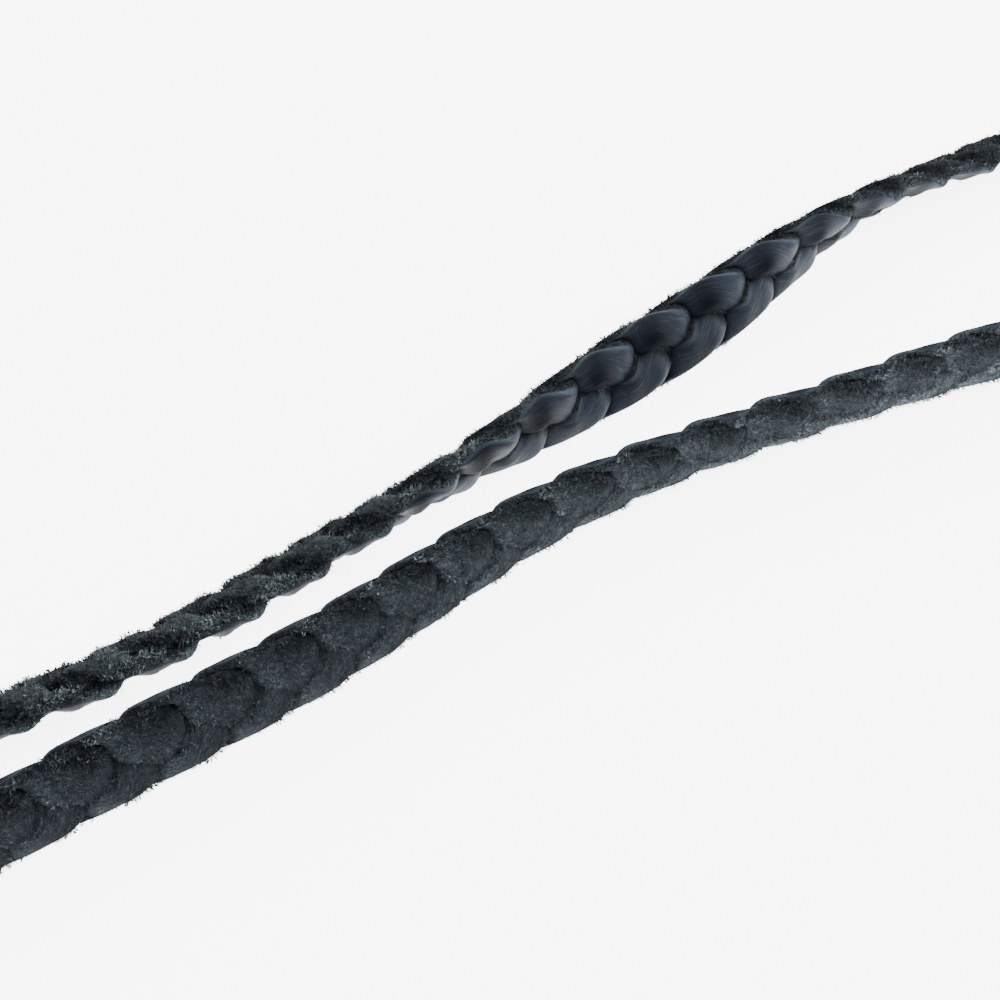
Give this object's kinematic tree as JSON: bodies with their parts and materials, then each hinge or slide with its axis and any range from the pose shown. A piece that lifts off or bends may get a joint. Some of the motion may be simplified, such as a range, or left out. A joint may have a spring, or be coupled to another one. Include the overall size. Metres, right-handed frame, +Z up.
{
  "type": "braided leather necklace",
  "caption": "Flat braid of black leather laces, smooth on one side and suede on the other, closed into a loop by a plain metal box clasp and lying on a surface",
  "frame": {"origin": "middle of the necklace's footprint, on the surface that it lies on", "axes": "+Z up from the surface, X along the loop's long way, the clasp towards +X and -Y"},
  "size_m": [0.2097, 0.0457, 0.0041],
  "materials": {
    "leather": "smooth semi-matt grain side, fibrous suede flesh side",
    "metal": "satin"
  },
  "bodies": {
    "root": {"lace_left": "leather", "lace_middle": "leather", "lace_right": "leather", "clasp": "metal"}
  },
  "joints": []
}
